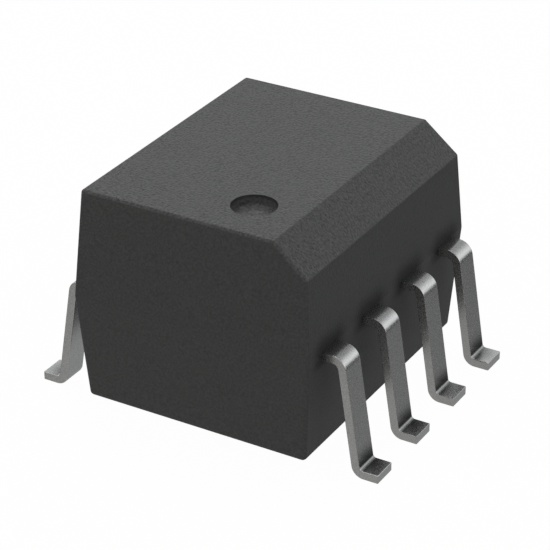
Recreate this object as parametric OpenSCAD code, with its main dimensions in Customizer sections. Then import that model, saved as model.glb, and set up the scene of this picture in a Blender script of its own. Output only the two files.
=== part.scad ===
// Small-outline optocoupler: a moulded eight-lead package with gull-wing leads.
// X runs across the two lead rows, Y along them, and Z = 0 is the solder plane.
// Pins 1 to 4 run down the -X side from +Y to -Y, and pins 5 to 8 back up the +X side.

/* [Body] */
// Width across the lead rows, at the parting line
body_w = 4.13; // [3.4:0.01:6]
// Body beyond the centre of each end lead, at the parting line
end_margin = 0.645; // [0.5:0.005:1.2]
// Gap between the solder plane and the underside
standoff = 0.2; // [0.1:0.01:0.5]
// Height of the lower mould half
lower_h = 1.8; // [1.4:0.01:2.6]
// Height of the upper mould half
upper_h = 1.81; // [1.4:0.01:2.6]
// Draft of the four walls, away from the parting line
draft = 3.7; // [1:0.1:8]
// Width of the flat land left by the mould along the parting line
parting_land = 0.02; // [0.01:0.005:0.04]

/* [Body edges] */
// Width of the chamfer over pins 1 to 4, seen from above
chamfer_w = 0.58; // [0.3:0.01:0.8]
// Height of the same chamfer
chamfer_h = 0.5; // [0.2:0.01:0.8]
// Radius round the top face
top_r = 0.06; // [0.02:0.01:0.15]
// Radius along both sides of the chamfer
chamfer_r = 0.05; // [0.01:0.01:0.1]
// Radius round the underside
bottom_r = 0.08; // [0.02:0.01:0.15]
// Radius of the four upright corners, at the parting line
corner_r = 0.04; // [0.02:0.01:0.15]

/* [Marks in the moulding] */
// Diameter of the pin 1 dimple
dimple_d = 0.72; // [0.4:0.02:1]
// Depth of the pin 1 dimple
dimple_depth = 0.14; // [0.12:0.01:0.2]
// Radius between the dimple's wall and its floor
dimple_fillet = 0.12; // [0.02:0.01:0.12]
// From the chamfer's upper edge to the dimple's centre
dimple_from_chamfer = 0.82; // [0.55:0.01:1.2]
// From the end of the top face to the dimple's centre
dimple_from_end = 0.86; // [0.55:0.01:1.4]
// Diameter of the ejector pin's mark in the underside
ejector_d = 1; // [0.5:0.1:1.5]
// Depth of the ejector pin's mark
ejector_depth = 0.04; // [0.02:0.01:0.08]

/* [Leads] */
// Distance between neighbouring leads
pitch = 1.27; // [1:0.01:1.6]
// Width of a lead outside the body
lead_w = 0.445; // [0.3:0.005:0.6]
// Thickness of the lead frame
lead_t = 0.145; // [0.1:0.005:0.25]
// Straight part between the body and the shoulder bend
shoulder_l = 0.16; // [0.05:0.01:0.4]
// Inner radius of the shoulder bend
shoulder_r = 0.1; // [0.05:0.01:0.25]
// How far a leg leans out from the vertical
leg_lean = 9; // [0:0.5:20]
// Inner radius of the foot bend
foot_r = 0.06; // [0.04:0.01:0.25]
// Flat part of the foot beyond its bend
foot_l = 0.255; // [0.1:0.005:0.6]

/* [Lead frame inside the body] */
// Wall of moulding between the outside and a lead's lock
lock_wall = 0.2; // [0.15:0.01:0.4]
// Width of the lock that holds a lead in the moulding
lock_w = 0.75; // [0.6:0.01:0.9]
// Length of the lock
lock_l = 0.3; // [0.2:0.01:0.5]
// Width of a finger between its lock and its tip
finger_w = 0.5; // [0.35:0.01:0.6]
// Gap between a die's pad and the tips of the fingers round it
tip_gap = 0.2; // [0.1:0.01:0.3]
// Length of the flat tip that a wire is bonded to
tip_l = 0.35; // [0.25:0.01:0.5]
// Gap between the pin 8 tongue and the finger of pin 7
tongue_gap = 0.17; // [0.1:0.01:0.3]
// Side of the pad under the emitter
emitter_pad = 0.9; // [0.6:0.01:1.1]
// Side of the pad under the detector
detector_pad = 1.3; // [1.1:0.01:1.5]
// Width of the neck between lead 5 and the detector's pad
neck_w = 0.6; // [0.3:0.01:0.9]
// How far the emitter's pad is set up from the lead plane
up_set = 0.55; // [0.4:0.01:0.7]
// How far the detector's pad is set down from it
down_set = 0.45; // [0.3:0.01:0.6]
// Angle of the ramps between the levels
ramp = 45; // [35:1:60]

/* [Dies and wires] */
// Side of the emitter die
emitter_die_w = 0.3; // [0.2:0.01:0.4]
// Thickness of the emitter die
emitter_die_t = 0.2; // [0.1:0.01:0.25]
// Side of the detector die
detector_die_w = 0.95; // [0.8:0.01:1.1]
// Thickness of the detector die
detector_die_t = 0.25; // [0.15:0.01:0.3]
// Thickness of the adhesive under a die
attach_t = 0.02; // [0.01:0.005:0.03]
// How far the adhesive spreads past the die
attach_spread = 0.03; // [0.01:0.005:0.06]
// Diameter of a bond wire
wire_d = 0.03; // [0.02:0.005:0.04]
// Rise of a wire's arc over the straight line between its ends
wire_rise = 0.2; // [0.1:0.01:0.25]
// Diameter of the bonded end of a wire
bond_d = 0.09; // [0.07:0.005:0.12]
// Height of the bonded end of a wire
bond_h = 0.04; // [0.03:0.005:0.06]
// From the edge of a die or a tip to the middle of a bond
bond_inset = 0.12; // [0.08:0.01:0.15]
// How far the light guide reaches past the outermost bond
guide_margin = 0.12; // [0.08:0.01:0.2]
// How far the light guide wets the edges of the two pads
guide_wet = 0.06; // [0.02:0.01:0.1]

/* [Hidden] */

pins_a_side = 4;
body_l = (pins_a_side - 1) * pitch + 2 * end_margin;
parting_z = standoff + lower_h;
top_z = parting_z + upper_h;
lead_z = parting_z - lead_t;

// Slope of a drafted wall, and how far a wall stands from the middle at height z
wall_slope = tan(draft);
function wall_x(z) = body_w / 2 - abs(z - parting_z) * wall_slope;
function wall_y(z) = body_l / 2 - abs(z - parting_z) * wall_slope;

// The chamfer's two edges, as distances from the middle on the -X side
chamfer_low_z = top_z - chamfer_h;
chamfer_low_x = wall_x(chamfer_low_z);
chamfer_top_x = chamfer_low_x - chamfer_w;

// The gull-wing bends: from the shoulder's centre of curvature to the foot's
shoulder_x = body_w / 2 + shoulder_l;
shoulder_z = lead_z - shoulder_r;
foot_z = lead_t + foot_r;
bend_drop = shoulder_z - foot_z;
bend_run = (shoulder_r + lead_t + foot_r + bend_drop * sin(leg_lean)) / cos(leg_lean);
leg_l = bend_run * sin(leg_lean) + bend_drop * cos(leg_lean);

// Levels inside: the emitter hangs under its pad and faces the detector, which lies on its own
emitter_seat_z = lead_z + up_set;
detector_seat_z = parting_z - down_set;
emitter_face_z = emitter_seat_z - attach_t - emitter_die_t;
detector_face_z = detector_seat_z + attach_t + detector_die_t;

// Distances from the middle to the fingers' tips and to their bonds
emitter_tip = emitter_pad / 2 + tip_gap;
detector_tip = detector_pad / 2 + tip_gap;
detector_bond = detector_die_w / 2 - bond_inset;
inner_y = pitch / 2;
tongue_y = inner_y + finger_w / 2 + tongue_gap;

// The light guide is a bead between the two pads
guide_h = emitter_seat_z - detector_seat_z + 2 * guide_wet;
guide_z = (emitter_seat_z + detector_seat_z) / 2;
guide_r = norm([detector_tip + bond_inset, tongue_y + bond_inset]) + guide_margin;

epoxy = [0.24, 0.24, 0.24];
tin = [0.6, 0.6, 0.59];
gold = [0.9, 0.7, 0.25];

// Centre of a circle of radius r that touches both sides of the corner at b
function tucked(a, b, c, r) =
    let (
        u = (a - b) / norm(a - b),
        v = (c - b) / norm(c - b),
        half = acos(u * v) / 2
    ) b + (u + v) / norm(u + v) * r / sin(half);

// One rounded edge of the moulding: a ball in each end wall's corner
module edge_balls(a, b, c, r) {
    centre = tucked(a, b, c, r);
    end_y = wall_y(centre[1]) - r / cos(draft);
    for (side = [-1, 1])
        translate([centre[0], side * end_y, centre[1]]) sphere(r, $fn = 24);
}

// Upright rounded corners on the land at the parting line
module land() {
    for (x = [-1, 1], y = [-1, 1])
        translate([x * (body_w / 2 - corner_r), y * (body_l / 2 - corner_r), parting_z])
            cylinder(h = parting_land, r = corner_r, center = true, $fn = 32);
}

module mould_half_upper() {
    foot_left = [-wall_x(parting_z), parting_z];
    chamfer_low = [-chamfer_low_x, chamfer_low_z];
    chamfer_top = [-chamfer_top_x, top_z];
    top_right = [wall_x(top_z), top_z];
    foot_right = [wall_x(parting_z), parting_z];
    hull() {
        land();
        edge_balls(foot_left, chamfer_low, chamfer_top, chamfer_r);
        edge_balls(chamfer_low, chamfer_top, top_right, chamfer_r);
        edge_balls(chamfer_top, top_right, foot_right, top_r);
    }
}

module mould_half_lower() {
    head_left = [-wall_x(parting_z), parting_z];
    bottom_left = [-wall_x(standoff), standoff];
    bottom_right = [wall_x(standoff), standoff];
    head_right = [wall_x(parting_z), parting_z];
    hull() {
        land();
        edge_balls(head_left, bottom_left, bottom_right, bottom_r);
        edge_balls(bottom_left, bottom_right, head_right, bottom_r);
    }
}

// Round recess beside pin 1: a flat floor, a fillet and a short upright wall
module dimple() {
    floor_r = dimple_d / 2 - dimple_fillet;
    translate([dimple_from_chamfer - chamfer_top_x, wall_y(top_z) - dimple_from_end, top_z - dimple_depth])
        rotate_extrude($fn = 128) {
            square([floor_r, 2 * dimple_depth]);
            translate([floor_r, dimple_fillet]) circle(dimple_fillet, $fn = 64);
            translate([0, dimple_fillet]) square([dimple_d / 2, dimple_depth]);
        }
}

module ejector_mark() {
    translate([0, 0, standoff - ejector_depth])
        cylinder(h = 2 * ejector_depth, d = ejector_d, $fn = 64);
}

module mould_body() {
    color(epoxy) difference() {
        union() {
            mould_half_upper();
            mould_half_lower();
        }
        dimple();
        ejector_mark();
        for (pin = [1:2 * pins_a_side]) lead(pin);
        guide_bead();
    }
}

// Bend of the strip about the Y axis, from the +X direction upwards
module bend(inner_r, sweep) {
    translate([0, lead_w, 0]) rotate([90, 0, 0])
        rotate_extrude(angle = sweep, $fn = 64)
            translate([inner_r, 0]) square([lead_t, lead_w]);
}

// The lead outside the body, formed out, down and out again, on the +X side
module gull_wing() {
    root = lock_wall + shoulder_l;
    translate([shoulder_x, -lead_w / 2, shoulder_z]) {
        translate([-root, 0, shoulder_r]) cube([root, lead_w, lead_t]);
        rotate([0, -leg_lean, 0]) {
            bend(shoulder_r, 90 - leg_lean);
            translate([shoulder_r, 0, -leg_l]) cube([lead_t, lead_w, leg_l]);
            translate([shoulder_r + lead_t + foot_r, 0, -leg_l]) {
                rotate([0, 180, 0]) bend(foot_r, 90 - leg_lean);
                rotate([0, leg_lean, 0]) translate([0, 0, -foot_r - lead_t])
                    cube([foot_l, lead_w, lead_t]);
            }
        }
    }
}

// Side view of the strip inside the body, set up or down by rise beyond its tip's flat
function strip(rise, tip) =
    let (
        inner = tip + tip_l,
        outer = inner + abs(rise) / tan(ramp),
        mitre = sign(rise) * lead_t * tan(ramp / 2),
        end = body_w / 2 - lock_wall
    ) [
        [-tip, lead_z + rise], [inner, lead_z + rise], [outer, lead_z], [end, lead_z],
        [end, parting_z], [outer + mitre, parting_z], [inner + mitre, parting_z + rise],
        [-tip, parting_z + rise]
    ];

// The lead inside the body: its flat outline, bent to the side view
module inner_lead(rise, tip) {
    intersection() {
        rotate([90, 0, 0]) linear_extrude(2 * body_l, center = true) polygon(strip(rise, tip));
        linear_extrude(top_z) children();
    }
}

// Flat piece of the lead frame, from x0 to x1 and from y0 to y1
module plate(x0, x1, y0, y1) {
    translate([x0, y0]) square([x1 - x0, y1 - y0]);
}

// Finger of a lead at y, with the lock that holds it in the moulding
module finger(y, tip) {
    lock_x = body_w / 2 - lock_wall - lock_l;
    plate(tip, body_w / 2, y - finger_w / 2, y + finger_w / 2);
    plate(lock_x, lock_x + lock_l, y - lock_w / 2, y + lock_w / 2);
}

// Pins count down one side and back up the other
function lead_y(pin) =
    pin <= pins_a_side
        ? ((pins_a_side + 1) / 2 - pin) * pitch
        : (pin - (3 * pins_a_side + 1) / 2) * pitch;

// What each lead has inside the body, drawn on the +X side
module lead_inside(pin) {
    y = lead_y(pin);
    if (pin == 1 || pin == 4)
        inner_lead(0, 0) finger(y, body_w / 2 - lock_wall - lock_l - tip_gap);
    if (pin == 2)
        inner_lead(up_set, emitter_tip) finger(y, emitter_tip);
    if (pin == 3)
        inner_lead(up_set, emitter_tip) {
            finger(y, -emitter_pad / 2);
            plate(-emitter_pad / 2, emitter_pad / 2, y, emitter_pad / 2);
        }
    if (pin == 5)
        inner_lead(-down_set, detector_tip) {
            finger(y, -neck_w / 2);
            plate(-neck_w / 2, neck_w / 2, y, 0);
            plate(-detector_pad / 2, detector_pad / 2, -detector_pad / 2, detector_pad / 2);
        }
    if (pin == 6 || pin == 7)
        inner_lead(0, detector_tip) finger(y, detector_tip);
    if (pin == 8)
        inner_lead(0, detector_tip) {
            finger(y, detector_tip);
            plate(detector_tip, detector_tip + finger_w, tongue_y, y);
        }
}

module lead(pin) {
    color(tin) mirror([pin <= pins_a_side ? 1 : 0, 0, 0]) {
        translate([0, lead_y(pin), 0]) gull_wing();
        lead_inside(pin);
    }
}

// Square die or adhesive layer on the middle line, with its lower face at z
module slab(w, t, z) {
    translate([-w / 2, -w / 2, z]) cube([w, w, t]);
}

module emitter_die() {
    color([0.8, 0.45, 0.25]) slab(emitter_die_w, emitter_die_t, emitter_face_z);
}

module emitter_attach() {
    color("silver") slab(emitter_die_w + 2 * attach_spread, attach_t, emitter_seat_z - attach_t);
}

module detector_die() {
    color([0.35, 0.38, 0.5]) slab(detector_die_w, detector_die_t, detector_seat_z + attach_t);
}

module detector_attach() {
    color("silver") slab(detector_die_w + 2 * attach_spread, attach_t, detector_seat_z);
}

// Wire in one arc between bonds on two faces; facing is 1 where the faces look up, -1 down
module bond_wire(from, to, facing) {
    lift = [0, 0, facing * bond_h / 2];
    run = norm([to[0] - from[0], to[1] - from[1]]);
    climb = to[2] - from[2];
    chord = norm([run, climb]);
    arc_r = (chord * chord / 4 + wire_rise * wire_rise) / (2 * wire_rise);
    half_sweep = asin(chord / 2 / arc_r);
    color(gold) {
        for (place = [from, to])
            translate(place + lift) cylinder(h = bond_h, d = bond_d, center = true, $fn = 32);
        translate(from + lift)
            rotate([0, 0, atan2(to[1] - from[1], to[0] - from[0])])
            rotate([90, 0, 0]) rotate(atan2(climb, run))
            mirror([0, facing < 0 ? 1 : 0, 0])
            translate([chord / 2, wire_rise - arc_r, 0]) rotate(90 - half_sweep)
            rotate_extrude(angle = 2 * half_sweep, $fn = 96)
            translate([arc_r, 0]) circle(d = wire_d, $fn = 24);
    }
}

module anode_wire() {
    bond_wire(
        [0, 0, emitter_face_z],
        [-emitter_tip - bond_inset, inner_y - finger_w / 2 + bond_inset, emitter_seat_z],
        -1
    );
}

// Wire from the detector's edge, at its own y, to a finger at the lead plane
module detector_wire(die_y, tip_y) {
    bond_wire(
        [detector_bond, die_y, detector_face_z],
        [detector_tip + bond_inset, tip_y, parting_z],
        1
    );
}

module output_wire() {
    detector_wire(-detector_bond, -inner_y);
}

module enable_wire() {
    detector_wire(0, inner_y - finger_w / 2 + bond_inset);
}

module supply_wire() {
    detector_wire(detector_bond, tongue_y + bond_inset);
}

// Bead of clear silicone with a round rim
module guide_bead() {
    translate([0, 0, guide_z]) rotate_extrude($fn = 128) {
        translate([0, -guide_h / 2]) square([guide_r - guide_h / 2, guide_h]);
        intersection() {
            translate([guide_r - guide_h / 2, 0]) circle(d = guide_h, $fn = 64);
            translate([0, -guide_h]) square([2 * guide_r, 2 * guide_h]);
        }
    }
}

module light_guide() {
    color([0.85, 0.92, 0.95, 0.5]) difference() {
        guide_bead();
        for (pin = [1:2 * pins_a_side]) lead(pin);
        emitter_die();
        emitter_attach();
        detector_die();
        detector_attach();
        anode_wire();
        output_wire();
        enable_wire();
        supply_wire();
    }
}

mould_body();
lead(1);  // lead_1
lead(2);  // lead_2
lead(3);  // lead_3
lead(4);  // lead_4
lead(5);  // lead_5
lead(6);  // lead_6
lead(7);  // lead_7
lead(8);  // lead_8
emitter_die();
emitter_attach();
detector_die();
detector_attach();
anode_wire();
output_wire();
enable_wire();
supply_wire();
light_guide();
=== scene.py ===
import bpy
import bmesh
import math
from mathutils import Matrix, Vector


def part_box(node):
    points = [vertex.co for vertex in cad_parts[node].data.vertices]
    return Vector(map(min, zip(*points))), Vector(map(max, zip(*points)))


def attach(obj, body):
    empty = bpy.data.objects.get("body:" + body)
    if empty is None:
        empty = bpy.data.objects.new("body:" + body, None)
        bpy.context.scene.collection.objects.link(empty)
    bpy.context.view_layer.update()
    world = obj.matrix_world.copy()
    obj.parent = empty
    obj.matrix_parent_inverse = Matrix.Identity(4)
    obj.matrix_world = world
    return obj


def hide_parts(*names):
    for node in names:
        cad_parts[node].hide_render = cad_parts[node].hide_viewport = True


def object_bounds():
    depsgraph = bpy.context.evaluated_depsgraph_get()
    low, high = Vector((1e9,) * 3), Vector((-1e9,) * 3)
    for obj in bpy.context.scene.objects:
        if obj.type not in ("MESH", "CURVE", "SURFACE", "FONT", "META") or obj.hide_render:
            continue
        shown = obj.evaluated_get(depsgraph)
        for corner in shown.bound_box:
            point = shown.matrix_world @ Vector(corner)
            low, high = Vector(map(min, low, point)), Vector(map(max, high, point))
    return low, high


mm = 0.001
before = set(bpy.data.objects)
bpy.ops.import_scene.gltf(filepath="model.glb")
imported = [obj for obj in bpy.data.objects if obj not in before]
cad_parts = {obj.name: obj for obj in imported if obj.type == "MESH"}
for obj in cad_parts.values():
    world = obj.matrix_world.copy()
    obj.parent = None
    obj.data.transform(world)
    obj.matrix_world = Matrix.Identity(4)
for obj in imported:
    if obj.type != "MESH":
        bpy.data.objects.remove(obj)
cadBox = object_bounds()
scene = bpy.context.scene
print("frame loaded:", len(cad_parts), "nodes")


cameraSettings = {
    "azimuth": 210.11,  # degrees, 0 looks along +Y
    "elevation": 28.61,
    "distance": 37.27 * mm,
    "target": (0.052 * mm, -0.131 * mm, 1.657 * mm),
    "lens": 153.2,  # millimetres, on a 36 mm sensor
    "nearest": 1 * mm,
    "furthest": 1000 * mm,
}


def direction(azimuth, elevation):
    # unit vector from the object towards a lamp or a camera
    a, e = math.radians(azimuth), math.radians(elevation)
    return Vector((math.sin(a) * math.cos(e), -math.cos(a) * math.cos(e), math.sin(e)))


def aimAt(thing, settings, target):
    # puts a camera or a lamp at its distance from the target and turns it there
    place = target + direction(settings["azimuth"], settings["elevation"]) * settings["distance"]
    thing.location = place
    thing.rotation_euler = (target - place).to_track_quat("-Z", "Y").to_euler()


def makeCamera(settings):
    data = bpy.data.cameras.new("camera")
    data.lens = settings["lens"]
    data.clip_start = settings["nearest"]
    data.clip_end = settings["furthest"]
    camera = bpy.data.objects.new("camera", data)
    scene.collection.objects.link(camera)
    aimAt(camera, settings, Vector(settings["target"]))
    scene.camera = camera


makeCamera(cameraSettings)
print("camera placed")


def newMaterial(name):
    material = bpy.data.materials.new(name)
    material.use_nodes = True
    tree = material.node_tree
    shader = next(n for n in tree.nodes if n.type == "BSDF_PRINCIPLED")
    return material, tree, shader


def addNode(tree, kind, **inputs):
    # a node with some of its sockets set; spaces in a socket's name are written as _
    node = tree.nodes.new(kind)
    for name, value in inputs.items():
        node.inputs[name.replace("_", " ")].default_value = value
    return node


def addMath(tree, operation, first, second=0):
    # each side is a socket or a plain number
    node = tree.nodes.new("ShaderNodeMath")
    node.operation = operation
    for side, value in zip(node.inputs, (first, second)):
        if isinstance(value, (int, float)):
            side.default_value = value
        else:
            tree.links.new(value, side)
    return node.outputs[0]


def product(tree, first, second):
    return addMath(tree, "MULTIPLY", first, second)


def hypotenuse(tree, across, along):
    squares = addMath(tree, "ADD", product(tree, across, across), product(tree, along, along))
    return addMath(tree, "SQRT", squares)


def masked(tree, factor, mask):
    # the factor where the mask is 1, and 1 where the mask is 0
    change = addMath(tree, "SUBTRACT", factor, 1)
    return addMath(tree, "ADD", product(tree, change, mask), 1)


def coordinates(tree, kind):
    # X, Y and Z sockets: "Object" for the place, "Normal" for the way the surface faces
    place = tree.nodes.new("ShaderNodeTexCoord")
    split = tree.nodes.new("ShaderNodeSeparateXYZ")
    tree.links.new(place.outputs[kind], split.inputs[0])
    return split.outputs["X"], split.outputs["Y"], split.outputs["Z"]


def mapped(tree, source, start, end, low, high, soft=False):
    # low up to start, high from end on, and a straight or a soft rise between them
    ramp = addNode(tree, "ShaderNodeMapRange", From_Min=start, From_Max=end, To_Min=low, To_Max=high)
    if soft:
        ramp.interpolation_type = "SMOOTHSTEP"
    tree.links.new(source, ramp.inputs["Value"])
    return ramp.outputs["Result"]


def addScale(tree, colour, factor):
    node = tree.nodes.new("ShaderNodeVectorMath")
    node.operation = "SCALE"
    tree.links.new(colour, node.inputs[0])
    tree.links.new(factor, node.inputs["Scale"])
    return node.outputs[0]


def addRamp(tree, source, stops):
    # a ramp through stops of place and colour; places run from 0 to 1
    ramp = tree.nodes.new("ShaderNodeValToRGB")
    elements = ramp.color_ramp.elements
    while len(elements) < len(stops):
        elements.new(0.5)
    for element, (place, colour) in zip(elements, stops):
        element.position = place
        element.color = (*colour, 1)
    tree.links.new(source, ramp.inputs["Fac"])
    return ramp.outputs["Color"]


def greyRamp(tree, source, stops):
    return addRamp(tree, source, [(place, (level,) * 3) for place, level in stops])


noiseMean = 0.5
noiseRange = (0.3, 0.7)  # nearly all of a noise's values lie between these


def grain(tree, size, detail=2):
    # noise whose lumps are about size across, in the object's own space
    place = tree.nodes.new("ShaderNodeTexCoord")
    noise = addNode(tree, "ShaderNodeTexNoise", Scale=1 / size, Detail=detail)
    tree.links.new(place.outputs["Object"], noise.inputs["Vector"])
    return noise.outputs["Fac"]


def spread(tree, source, low, high):
    # stretches a noise's middle range onto low to high
    return mapped(tree, source, *noiseRange, low, high)


def shades(tree, source, dark, light):
    # colour that wanders between two shades
    return addRamp(tree, source, tuple(zip(noiseRange, (dark, light))))


def addBump(tree, shader, source, depth):
    bump = addNode(tree, "ShaderNodeBump", Distance=depth)
    tree.links.new(source, bump.inputs["Height"])
    tree.links.new(bump.outputs["Normal"], shader.inputs["Normal"])


leadSection = {
    "width": 0.445 * mm,
    "thickness": 0.145 * mm,
    "top": 2 * mm,  # height of its upper face over the floor
    "underWeight": 2.2,  # a place under a lead counts as this much farther off than one over it
    "shift": 9.5,  # pitches; the leads lie half a pitch off the middle, and nine more keep y over 0
}

epoxyLook = {
    "dark": (0.0265, 0.0265, 0.0265),
    "light": (0.03, 0.03, 0.03),
    "grainSize": 0.038 * mm,
    "grainDetail": 3,
    "grainDepth": 0.014 * mm,
    "sideGrain": 0.35,  # the drawn sides keep this much of the top's grain
    "roughness": (0.44, 0.58),
    "shine": (0.16, 0.96),
    "cornerReach": 0.38 * mm,  # how far the painted shade round each lead's exit reaches
    "cornerShade": 0.36,  # what is left of the colour and the shine under that painted shade
}


def exitDistance(tree, section):
    # how far a place on the body is from the nearest lead, seen along X
    low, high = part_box("lead_1")
    lowLast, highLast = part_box("lead_4")
    pitch = (low.y + high.y - lowLast.y - highLast.y) / 6  # twice the three pitches between them
    _, y, z = coordinates(tree, "Object")
    shifted = addMath(tree, "ADD", y, section["shift"] * pitch)
    fromMiddle = addMath(tree, "PINGPONG", shifted, pitch / 2)
    beside = addMath(tree, "MAXIMUM", addMath(tree, "SUBTRACT", fromMiddle, section["width"] / 2), 0)
    over = addMath(tree, "SUBTRACT", z, section["top"])
    under = addMath(tree, "SUBTRACT", section["top"] - section["thickness"], z)
    under = product(tree, under, section["underWeight"])
    above = addMath(tree, "MAXIMUM", addMath(tree, "MAXIMUM", over, under), 0)
    return hypotenuse(tree, beside, above)


dimpleLook = {
    "radius": 0.36 * mm,
    "depth": 0.14 * mm,
    "lift": 1.6,  # painted light: the floor this much lighter and shinier than the matt top
    # the painted light falls off towards the wall, which gets painted shade
    "floorToRim": ((0, 1), (0.25, 1), (0.7, 0.66), (0.84, 0.42), (1, 0.42)),
    "upTo": 0.98,  # share of the depth over its floor, just short of the top face
    "downFor": 1.05,  # share of the depth from there, just past its floor
    "outTo": 1.02,  # share of the radius, just past its wall
    "floorSlack": 0.001 * mm,  # corners this close to the floor's height are the floor's
}


def dimpleCentre(look):
    # from the corners of the dimple's floor
    floorHeight = cadBox[1].z - look["depth"]
    corners = []
    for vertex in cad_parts["mould_body"].data.vertices:
        if abs(vertex.co.z - floorHeight) < look["floorSlack"]:
            corners.append(vertex.co)
    return sum(corners, Vector()) / len(corners)


def dimplePaintedLightAndShade(tree, look):
    # painted light on the dimple's floor and painted shade on its wall, as a factor on colour and shine
    # from the floor's middle to its wall; 1 outside it
    centre = dimpleCentre(look)
    offset = []
    for source, middle in zip(coordinates(tree, "Object"), centre):
        offset.append(addMath(tree, "SUBTRACT", source, middle))
    across, along, height = offset
    reach = addMath(tree, "DIVIDE", hypotenuse(tree, across, along), look["radius"])
    depth = addMath(tree, "SUBTRACT", look["depth"] * look["upTo"], height)
    underTop = addMath(tree, "GREATER_THAN", depth, 0)
    overFloor = addMath(tree, "LESS_THAN", depth, look["depth"] * look["downFor"])
    inReach = addMath(tree, "LESS_THAN", reach, look["outTo"])
    inside = product(tree, inReach, product(tree, underTop, overFloor))
    shade = product(tree, greyRamp(tree, reach, look["floorToRim"]), look["lift"])
    return masked(tree, shade, inside)


def epoxyFinish(look):
    # filled epoxy from a spark-eroded mould, with painted shade in the corners where the leads come out
    # and painted light and shade in the dimple
    material, tree, shader = newMaterial("mouldedEpoxy")
    fine = grain(tree, look["grainSize"], look["grainDetail"])
    _, _, facingUp = coordinates(tree, "Normal")
    level = mapped(tree, addMath(tree, "ABSOLUTE", facingUp), 0, 1, look["sideGrain"], 1)
    around = addMath(tree, "SUBTRACT", fine, noiseMean)
    fine = addMath(tree, "ADD", product(tree, around, level), noiseMean)
    away = exitDistance(tree, leadSection)
    # painted shade: colour and shine darkened round each lead's exit, where the leads shade the body
    corner = mapped(tree, away, 0, look["cornerReach"], look["cornerShade"], 1, soft=True)
    # the exits' painted shade times the dimple's painted light and shade
    paintedLightAndShade = product(tree, corner, dimplePaintedLightAndShade(tree, dimpleLook))
    colour = addScale(tree, shades(tree, fine, look["dark"], look["light"]), paintedLightAndShade)
    shine = product(tree, paintedLightAndShade, spread(tree, fine, *look["shine"]))
    tree.links.new(colour, shader.inputs["Base Color"])
    tree.links.new(shine, shader.inputs["Specular IOR Level"])
    tree.links.new(spread(tree, fine, *look["roughness"]), shader.inputs["Roughness"])
    addBump(tree, shader, fine, look["grainDepth"])
    return material


tinLook = {
    "dark": (0.44, 0.44, 0.437),
    "light": (0.62, 0.62, 0.617),
    "grainSize": 0.02 * mm,
    "grainDetail": 3,
    "grainDepth": 0.001 * mm,
    "roughness": (0.22, 0.32),
    # painted shade in the crease over the foot, from ambient occlusion
    "creaseReach": 0.42 * mm,
    "creasePower": 3.2,  # how fast the painted shade darkens the colour into the crease over the foot
    "creaseSamples": 8,
    "shoulderShade": (2.1 * mm, 2.46 * mm, 0.45),  # painted shade on the shoulder's top by the body: from and to this far out, and what is left at the body
    "legShade": (0.19 * mm, 0.44 * mm, 0.18),  # painted shade on the leg's front over the foot, the same by height
    "topFacing": 0.3,  # a face that looks up by more than this is the shoulder's or the foot's top
    "outFacing": 0.8,  # a face that looks outward by more than this is the leg's front
}


def leadPaintedShade(tree, look):
    # painted shade on a lead's shoulder beside the body and on its leg over its foot
    x, _, z = coordinates(tree, "Object")
    facingX, _, facingUp = coordinates(tree, "Normal")
    start, end, left = look["shoulderShade"]
    shoulder = mapped(tree, addMath(tree, "ABSOLUTE", x), start, end, left, 1, soft=True)
    onTop = addMath(tree, "GREATER_THAN", facingUp, look["topFacing"])
    start, end, left = look["legShade"]
    leg = mapped(tree, z, start, end, left, 1, soft=True)
    outward = product(tree, facingX, addMath(tree, "SIGN", x))
    onFront = addMath(tree, "GREATER_THAN", outward, look["outFacing"])
    onLeg = product(tree, onFront, addMath(tree, "GREATER_THAN", z, start))
    return product(tree, masked(tree, shoulder, onTop), masked(tree, leg, onLeg))


def tinFinish(look):
    # satin tin plate, with painted shade where the foot meets the leg, on the shoulder by the body and on
    # the leg over the foot
    material, tree, shader = newMaterial("tinPlate")
    fine = grain(tree, look["grainSize"], look["grainDetail"])
    # ambient occlusion painted into the colour as shade in the crease
    crease = addNode(tree, "ShaderNodeAmbientOcclusion", Distance=look["creaseReach"])
    crease.only_local = True
    crease.samples = look["creaseSamples"]
    openness = addMath(tree, "POWER", crease.outputs["AO"], look["creasePower"])
    paintedCreaseAndLeadShade = product(tree, openness, leadPaintedShade(tree, look))
    colour = addScale(tree, shades(tree, fine, look["dark"], look["light"]), paintedCreaseAndLeadShade)
    shader.inputs["Metallic"].default_value = 1
    tree.links.new(colour, shader.inputs["Base Color"])
    tree.links.new(spread(tree, fine, *look["roughness"]), shader.inputs["Roughness"])
    addBump(tree, shader, fine, look["grainDepth"])
    return material


# what the moulding hides
innerGrain = 0.04 * mm
innerLooks = {
    "silicon": {
        "nodes": ("detector_die",),
        "dark": (0.1, 0.11, 0.13), "light": (0.13, 0.14, 0.16),
        "metallic": 0.7, "roughness": 0.2, "clear": 0,
    },
    "emitterCrystal": {
        "nodes": ("emitter_die",),
        "dark": (0.12, 0.09, 0.07), "light": (0.16, 0.12, 0.09),
        "metallic": 0.5, "roughness": 0.25, "clear": 0,
    },
    "silverAdhesive": {
        "nodes": ("emitter_attach", "detector_attach"),
        "dark": (0.4, 0.4, 0.39), "light": (0.62, 0.62, 0.6),
        "metallic": 0.6, "roughness": 0.55, "clear": 0,
    },
    "goldWire": {
        "nodes": ("anode_wire", "output_wire", "enable_wire", "supply_wire"),
        "dark": (0.8, 0.52, 0.2), "light": (0.9, 0.62, 0.28),
        "metallic": 1, "roughness": 0.2, "clear": 0,
    },
    "clearSilicone": {
        "nodes": ("light_guide",),
        "dark": (0.9, 0.9, 0.88), "light": (0.96, 0.96, 0.94),
        "metallic": 0, "roughness": 0.08, "clear": 0.9,
    },
}


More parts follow.
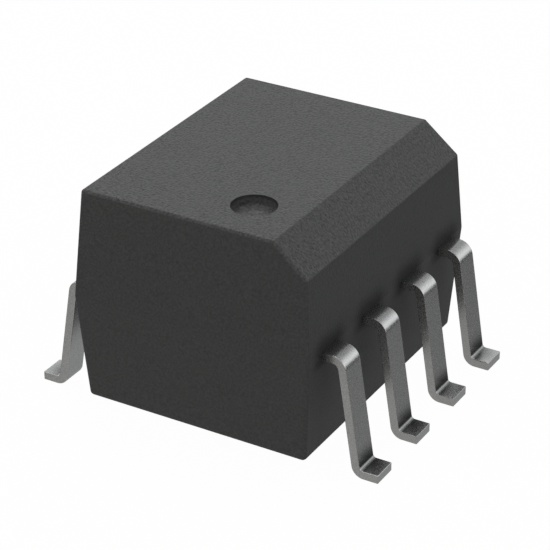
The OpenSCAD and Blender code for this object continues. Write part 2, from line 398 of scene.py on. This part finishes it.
def innerFinish(name, look):
    material, tree, shader = newMaterial(name)
    fine = grain(tree, innerGrain)
    tree.links.new(shades(tree, fine, look["dark"], look["light"]), shader.inputs["Base Color"])
    shader.inputs["Metallic"].default_value = look["metallic"]
    shader.inputs["Roughness"].default_value = look["roughness"]
    shader.inputs["Transmission Weight"].default_value = look["clear"]
    for node in look["nodes"]:
        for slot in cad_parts[node].material_slots:
            slot.material = material


meshWork = {
    "weld": 0.0005,  # millimetres
    "flat": math.radians(0.3),  # edges flatter than this are taken out
    "rounded": math.radians(30),  # edges sharper than this are rounded
    "sharp": math.radians(40),  # edges sharper than this stay sharp in the shading
    "faceWeight": 100,  # the large faces set the normals
    "sameArea": 0.0001,
}
leadEdge = {
    "radius": 0.013,  # millimetres
    "steps": 3,
    "profile": 0.5,
}


def smoothed(mesh, name):
    # one object with soft normals on its curves and true ones on its flats
    piece = bpy.data.objects.new(name, mesh)
    scene.collection.objects.link(piece)
    for polygon in mesh.polygons:
        polygon.use_smooth = True
    mesh.set_sharp_from_angle(angle=meshWork["sharp"])
    weigh = piece.modifiers.new("flatsFirst", "WEIGHTED_NORMAL")
    weigh.keep_sharp = True
    weigh.weight = meshWork["faceWeight"]
    weigh.thresh = meshWork["sameArea"]
    return piece


def roundEdges(bm, edge):
    bmesh.ops.dissolve_limit(bm, angle_limit=meshWork["flat"], verts=bm.verts, edges=bm.edges)
    sharp = [e for e in bm.edges if e.is_manifold and e.calc_face_angle() > meshWork["rounded"]]
    bmesh.ops.bevel(
        bm, geom=sharp, offset=edge["radius"], offset_type="OFFSET", segments=edge["steps"],
        profile=edge["profile"], affect="EDGES", clamp_overlap=True,
    )


def worked(node, name, edge=None):
    # a copy of a CAD node, welded and with its edges rounded; the work is done in millimetres
    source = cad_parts[node].data
    bm = bmesh.new()
    corners = [bm.verts.new(vertex.co / mm) for vertex in source.vertices]
    for polygon in source.polygons:
        bm.faces.new([corners[i] for i in polygon.vertices])
    bmesh.ops.remove_doubles(bm, verts=bm.verts, dist=meshWork["weld"])
    if edge:
        roundEdges(bm, edge)
    mesh = bpy.data.meshes.new(name)
    bm.to_mesh(mesh)
    bm.free()
    piece = smoothed(mesh, name)
    evaluated = piece.evaluated_get(bpy.context.evaluated_depsgraph_get())
    finished = bpy.data.meshes.new_from_object(evaluated)
    finished.transform(Matrix.Scale(mm, 4))
    finished.name = name
    piece.modifiers.clear()
    piece.data = finished
    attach(piece, "root")
    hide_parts(node)
    return piece


epoxy = epoxyFinish(epoxyLook)
tin = tinFinish(tinLook)
body = worked("mould_body", "mouldedBody")
body.data.materials.append(epoxy)
for pin in range(1, 9):
    lead = worked(f"lead_{pin}", f"formedLead{pin}", leadEdge)
    lead.data.materials.append(tin)
print("body and leads made")
for name, look in innerLooks.items():
    innerFinish(name, look)
print("inner pieces finished")


floorSettings = {
    "size": 400 * mm,
    "shade": (0.8, 0.8, 0.8),
    "white": 0.98,  # the rest of the floor's look is its own shade, with the shadow
    "glow": 0.3,  # what the floor sends back to matt surfaces
}


def makeFloor(settings):
    # white to the camera, grey to matt surfaces; metal sees the studio's lower half through it
    bpy.ops.mesh.primitive_plane_add(size=settings["size"], location=(0, 0, 0))
    floor = bpy.context.active_object
    floor.name = "floor"
    material, tree, shader = newMaterial("floorWhite")
    shader.inputs["Base Color"].default_value = (*settings["shade"], 1)
    shader.inputs["Roughness"].default_value = 1
    path = tree.nodes.new("ShaderNodeLightPath")
    strength = mapped(tree, path.outputs["Is Camera Ray"], 0, 1, settings["glow"], 1)
    white = addNode(tree, "ShaderNodeEmission", Color=(1, 1, 1, 1))
    tree.links.new(strength, white.inputs["Strength"])
    plain = addNode(tree, "ShaderNodeMixShader", Fac=settings["white"])
    tree.links.new(shader.outputs[0], plain.inputs[1])
    tree.links.new(white.outputs[0], plain.inputs[2])
    clear = tree.nodes.new("ShaderNodeBsdfTransparent")
    glossy, transmitted = path.outputs["Is Glossy Ray"], path.outputs["Is Transmission Ray"]
    mirrored = addMath(tree, "MAXIMUM", glossy, transmitted)
    mix = tree.nodes.new("ShaderNodeMixShader")
    output = next(n for n in tree.nodes if n.type == "OUTPUT_MATERIAL")
    tree.links.new(mirrored, mix.inputs["Fac"])
    tree.links.new(plain.outputs[0], mix.inputs[1])
    tree.links.new(clear.outputs[0], mix.inputs[2])
    tree.links.new(mix.outputs[0], output.inputs["Surface"])
    floor.data.materials.append(material)


studioSettings = {
    # sine of the height over the horizon, and brightness there, from straight down to straight up
    "glow": (
        (-1, 0.45), (-0.48, 0.43), (-0.32, 0.15), (-0.02, 0.1),
        (0.02, 1.1), (0.24, 1.5), (0.48, 1.1), (0.66, 0.3), (1, 0.6),
    ),
    "behind": (0.87, 0.88, 0.89),  # the studio is a little darker and cooler at the far side
    "before": (1.02, 1.015, 1),
}


def makeWorld(settings):
    # white to the camera; brightest just over the horizon for the object
    world = bpy.data.worlds.new("studio")
    world.use_nodes = True
    scene.world = world
    tree = world.node_tree
    studio = next(n for n in tree.nodes if n.type == "BACKGROUND")
    _, y, z = coordinates(tree, "Generated")
    stops = [((sine + 1) / 2, glow) for sine, glow in settings["glow"]]
    byHeight = greyRamp(tree, mapped(tree, z, -1, 1, 0, 1), stops)
    bySide = shades(tree, mapped(tree, y, -1, 1, 0, 1), settings["behind"], settings["before"])
    tinted = tree.nodes.new("ShaderNodeVectorMath")
    tinted.operation = "MULTIPLY"
    tree.links.new(byHeight, tinted.inputs[0])
    tree.links.new(bySide, tinted.inputs[1])
    tree.links.new(tinted.outputs[0], studio.inputs["Color"])
    white = addNode(tree, "ShaderNodeBackground", Color=(1, 1, 1, 1), Strength=1)
    path = tree.nodes.new("ShaderNodeLightPath")
    mix = tree.nodes.new("ShaderNodeMixShader")
    output = next(n for n in tree.nodes if n.type == "OUTPUT_WORLD")
    tree.links.new(path.outputs["Is Camera Ray"], mix.inputs["Fac"])
    tree.links.new(studio.outputs[0], mix.inputs[1])
    tree.links.new(white.outputs[0], mix.inputs[2])
    tree.links.new(mix.outputs[0], output.inputs["Surface"])


lampSettings = {
    "keyLamp": {"azimuth": 40, "elevation": 68, "distance": 120 * mm, "size": 60 * mm, "power": 0.043},
}


def makeLamp(name, settings):
    data = bpy.data.lights.new(name, "AREA")
    data.size = settings["size"]
    data.energy = settings["power"]
    lamp = bpy.data.objects.new(name, data)
    scene.collection.objects.link(lamp)
    aimAt(lamp, settings, (cadBox[0] + cadBox[1]) / 2)


makeFloor(floorSettings)
makeWorld(studioSettings)
for name, settings in lampSettings.items():
    makeLamp(name, settings)
scene.view_settings.view_transform = "Standard"
print("floor, lamp and studio made")
